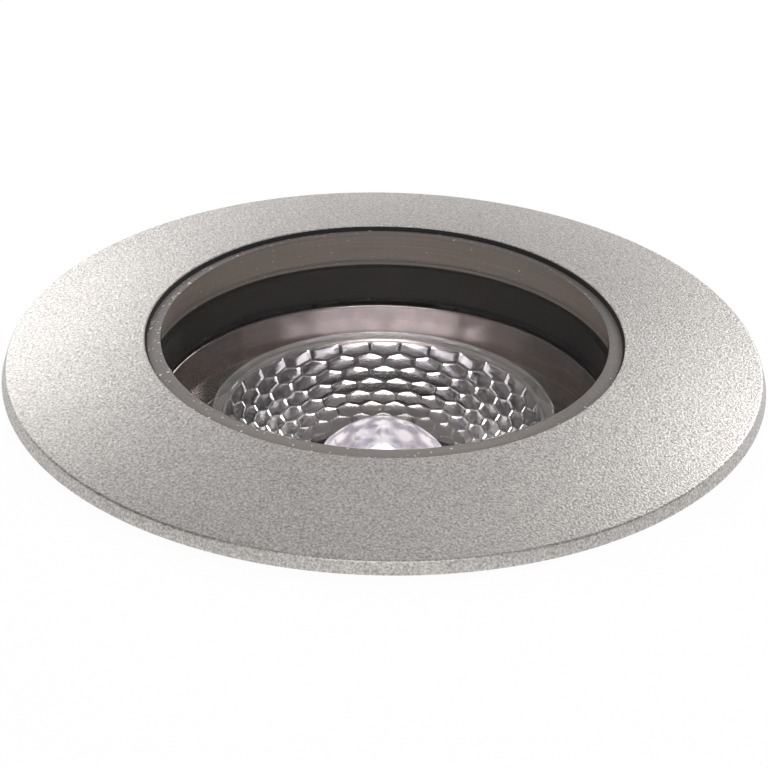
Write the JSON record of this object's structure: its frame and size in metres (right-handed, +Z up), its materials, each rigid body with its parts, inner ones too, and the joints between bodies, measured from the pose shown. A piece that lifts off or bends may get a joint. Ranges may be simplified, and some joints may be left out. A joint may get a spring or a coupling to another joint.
{
  "type": "in ground well light",
  "caption": "Round recessed ground light: conical metal trim, thick clear glass, faceted lens that pans and tilts, sealed canister with cable gland",
  "frame": {"origin": "centre of the trim's underside, in the plane where the flange rests on the ground", "axes": "+Z up along the canister's axis, +X along the tilt pivot, -Y toward the viewer of the picture"},
  "size_m": [0.09, 0.09, 0.107],
  "materials": {
    "blasted_steel": "bead blasted stainless steel, fine even grain",
    "tempered_glass": "polished faces, ground edge and bevel",
    "black_silicone": "black silicone, matt",
    "foam_pad": "closed-cell foam, matt",
    "cast_aluminium": "die-cast and turned, grey conversion coat",
    "grip_rubber": "moulded rubber, matt",
    "spring_steel": "stamped spring steel",
    "slip_plastic": "white slip plastic",
    "black_plastic": "black moulded plastic",
    "screw_steel": "stainless screws",
    "white_nylon": "natural nylon",
    "board_green": "glass-fibre board with green lacquer",
    "ferrite": "sintered ferrite",
    "copper_wire": "lacquered copper wire",
    "can_sleeve": "shrunk sleeve over an aluminium can",
    "chip_black": "black moulding compound",
    "terminal_grey": "grey moulded plastic",
    "plated_brass": "nickel plated brass",
    "satin_aluminium": "turned and satin finished",
    "sheet_aluminium": "bent sheet, mill finish",
    "clear_acrylic": "clear moulded acrylic, polished",
    "board_white": "aluminium board with white lacquer",
    "package_ceramic": "white ceramic",
    "grey_sheet": "heat-conducting sheet",
    "sawn_aluminium": "turned and sawn, natural anodised",
    "light_surface": "phosphor under clear silicone, lit"
  },
  "bodies": {
    "canister_body": {"trim_ring": "blasted_steel", "glass_disc": "tempered_glass", "glass_joint": "black_silicone", "glass_gasket": "black_silicone", "trim_oring": "black_silicone", "flange_pad": "foam_pad", "housing": "cast_aluminium", "grip_rings": "grip_rubber", "snap_ring": "spring_steel", "slip_washer": "slip_plastic", "driver_cover": "black_plastic", "cover_grommet": "grip_rubber", "cover_screws": "screw_steel", "driver_standoffs": "white_nylon", "driver_board": "board_green", "driver_screws": "screw_steel", "choke_core": "ferrite", "choke_winding": "copper_wire", "capacitors": "can_sleeve", "driver_chips": "chip_black", "terminals": "terminal_grey", "base_cap": "cast_aluminium", "cap_oring": "black_silicone", "cap_screws": "screw_steel", "gland_washer": "black_silicone", "gland_body": "plated_brass", "gland_seal": "black_silicone", "gland_nut": "plated_brass"},
    "turntable_body": {"turntable": "satin_aluminium", "pivot_pins": "screw_steel", "friction_washers": "slip_plastic"},
    "optic_body": {"cradle": "sheet_aluminium", "lens": "clear_acrylic", "lens_holder": "black_plastic", "led_board": "board_white", "led_package": "package_ceramic", "led_emitter": "light_surface", "board_connector": "white_nylon", "board_screws": "screw_steel", "heat_sheet": "grey_sheet", "heat_sink": "sawn_aluminium"}
  },
  "joints": [
    {"name": "pan", "type": "hinge", "parent": "canister_body", "child": "turntable_body", "pos_m": [0, 0, -0.015], "axis": [0, 0, 1], "range_deg": [-175, 175]},
    {"name": "tilt", "type": "hinge", "parent": "turntable_body", "child": "optic_body", "pos_m": [0, 0, -0.022], "axis": [1, 0, 0], "range_deg": [-12, 12]}
  ]
}
